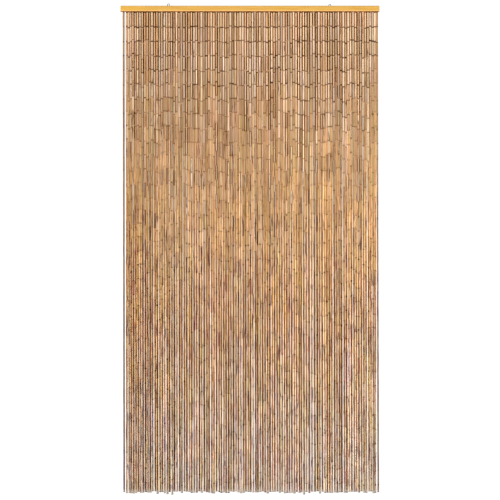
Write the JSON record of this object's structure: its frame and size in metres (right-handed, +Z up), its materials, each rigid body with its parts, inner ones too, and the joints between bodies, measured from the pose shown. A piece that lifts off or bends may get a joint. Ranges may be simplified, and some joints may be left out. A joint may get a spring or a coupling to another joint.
{
  "type": "bamboo door curtain with rail",
  "caption": "Door curtain of bamboo tube strands hanging in two staggered rows from a varnished wooden rail with two wire hanging loops.",
  "frame": {"origin": "centre of the rail's back face, where it lies on the wall or door frame", "axes": "+Z up, +X along the rail to the right as seen from the front, +Y back into the wall; the curtain faces -Y"},
  "size_m": [1.2, 0.026, 2.2768],
  "materials": {
    "rail_wood": "clear yellow-orange varnish, satin",
    "bamboo": "natural bamboo, dry satin skin, uneven tan with brown stains",
    "wire": "plain zinc-coated wire"
  },
  "bodies": {
    "root": {"rail": "rail_wood", "loop_left": "wire", "loop_right": "wire", "strands_front": "bamboo", "strands_back": "bamboo"}
  },
  "joints": []
}
